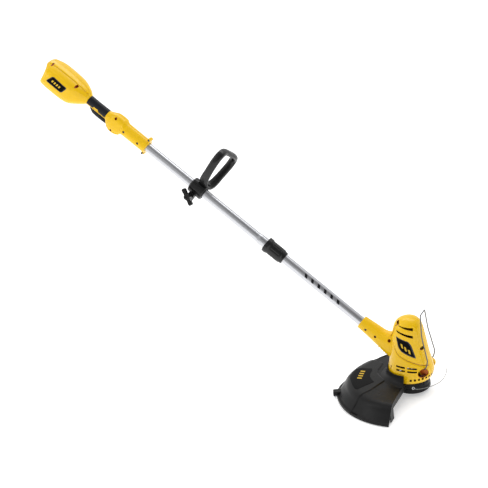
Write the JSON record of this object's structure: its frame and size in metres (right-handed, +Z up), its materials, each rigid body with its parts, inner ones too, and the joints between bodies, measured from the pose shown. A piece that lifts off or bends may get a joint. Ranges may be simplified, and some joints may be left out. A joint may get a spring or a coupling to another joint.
{
  "type": "string trimmer",
  "caption": "Cordless string trimmer with a two-piece tube shaft, loop front handle, bump-feed spool, debris guard and folding wire flower guard.",
  "frame": {"origin": "centre of the bump knob's flat underside, on the spool axis", "axes": "+Z up along the spool axis, +X forward past the cutting head, the shaft rising backwards towards -X, +Y the user's left"},
  "size_m": [1.1799, 0.3779, 1.0266],
  "materials": {
    "yellow_shell": "glossy warm yellow ABS with a fine moulded texture",
    "black_plastic": "satin black glass-filled nylon",
    "soft_grip": "matt over-moulded elastomer",
    "aluminium_tube": "satin drawn tube with lengthwise lines",
    "bright_steel": "drawn or ground steel",
    "dark_screw": "blackened screw steel",
    "board": "glass-epoxy board",
    "nylon_line": "translucent nylon monofilament"
  },
  "bodies": {
    "handle": {"rear_housing_right": "yellow_shell", "rear_housing_left": "yellow_shell", "grip_cover_right": "soft_grip", "grip_cover_left": "soft_grip", "battery_dock": "black_plastic", "control_board": "board", "trigger_switch": "black_plastic", "upper_tube": "aluminium_tube", "upper_cable": "black_plastic", "clamp_collet": "black_plastic", "socket_screw_1": "dark_screw", "socket_screw_2": "dark_screw", "lug_screw_1": "dark_screw", "lug_screw_2": "dark_screw", "trigger_pin": "bright_steel", "trigger_spring": "bright_steel"},
    "trigger": {"trigger_lever": "black_plastic"},
    "lock_off": {"lock_off_button": "black_plastic"},
    "battery": {"battery_case": "black_plastic"},
    "latch": {"battery_latch": "yellow_shell"},
    "collar": {"lock_collar": "black_plastic"},
    "clamp_slider": {"clamp_liner": "soft_grip"},
    "front_handle": {"loop_handle": "black_plastic", "clamp_bolt": "bright_steel"},
    "clamp_knob": {"wing_knob": "black_plastic"},
    "turning_bush": {"guide_bush": "black_plastic"},
    "lower_shaft": {"lower_tube": "aluminium_tube", "lower_cable": "black_plastic", "head_housing_right": "yellow_shell", "head_housing_left": "yellow_shell", "neck_screw_1": "dark_screw", "neck_screw_2": "dark_screw", "motor_can": "bright_steel", "motor_end_cap": "black_plastic", "motor_mount": "black_plastic", "debris_guard": "black_plastic", "line_cutter_blade": "bright_steel", "cutter_screw_1": "dark_screw", "cutter_screw_2": "dark_screw", "guard_screw_1": "dark_screw", "guard_screw_2": "dark_screw", "guard_screw_3": "dark_screw"},
    "bail": {"flower_guard": "bright_steel"},
    "spool": {"spool_housing": "black_plastic", "spool_cover": "black_plastic", "line_eyelet": "bright_steel", "cutting_line": "nylon_line", "motor_shaft": "bright_steel", "cooling_fan": "black_plastic", "bump_spring": "bright_steel"},
    "reel": {"line_reel": "black_plastic", "wound_line": "nylon_line", "bump_knob": "black_plastic"}
  },
  "joints": [
    {"name": "trigger_squeeze", "type": "hinge", "parent": "handle", "child": "trigger", "pos_m": [-0.93601, 0, 0.8798], "axis": [0, -1, 0], "range_deg": [0, 5], "stiffness_Nm_per_rad": 1.2, "springref_deg": -6.88, "deforming": ["trigger_spring"]},
    {"name": "lock_off_press", "type": "slide", "parent": "handle", "child": "lock_off", "axis": [0, -1, 0], "range_m": [0, 0.004], "stiffness_N_per_m": 250, "springref_m": -0.001},
    {"name": "battery_slide", "type": "slide", "parent": "handle", "child": "battery", "axis": [-0.7573, 0, 0.653], "range_m": [0, 0.08]},
    {"name": "latch_press", "type": "slide", "parent": "handle", "child": "latch", "axis": [0.653, 0, 0.7573], "range_m": [0, 0.003], "stiffness_N_per_m": 900, "springref_m": -0.001},
    {"name": "collar_twist", "type": "hinge", "parent": "handle", "child": "collar", "pos_m": [-0.38397, 0, 0.41898], "axis": [-0.7573, 0, 0.653], "range_deg": [0, 90]},
    {"name": "clamp_slide", "type": "slide", "parent": "handle", "child": "clamp_slider", "axis": [-0.7573, 0, 0.653], "range_m": [-0.15, 0.15]},
    {"name": "front_handle_turn", "type": "hinge", "parent": "clamp_slider", "child": "front_handle", "pos_m": [-0.60966, 0, 0.61358], "axis": [-0.7573, 0, 0.653], "range_deg": [-60, 60]},
    {"name": "clamp_knob_turn", "type": "hinge", "parent": "front_handle", "child": "clamp_knob", "pos_m": [-0.63357, -0.01424, 0.59198], "axis": [-0.2656, 0.9135, -0.308], "continuous": true},
    {"name": "shaft_turn", "type": "hinge", "parent": "handle", "child": "turning_bush", "pos_m": [-0.3764, 0, 0.41245], "axis": [-0.7573, 0, 0.653], "range_deg": [-90, 90]},
    {"name": "shaft_extend", "type": "slide", "parent": "turning_bush", "child": "lower_shaft", "axis": [0.7573, 0, -0.653], "range_m": [0, 0.04]},
    {"name": "flower_guard_fold", "type": "hinge", "parent": "lower_shaft", "child": "bail", "pos_m": [0.05, 0, 0.084], "axis": [0, 1, 0], "range_deg": [0, 100]},
    {"name": "spool_spin", "type": "hinge", "parent": "lower_shaft", "child": "spool", "pos_m": [0, 0, 0.03], "axis": [0, 0, 1], "continuous": true},
    {"name": "bump_feed", "type": "slide", "parent": "spool", "child": "reel", "axis": [0, 0, 1], "range_m": [0, 0.005], "stiffness_N_per_m": 900, "springref_m": -0.003, "deforming": ["bump_spring"]}
  ]
}
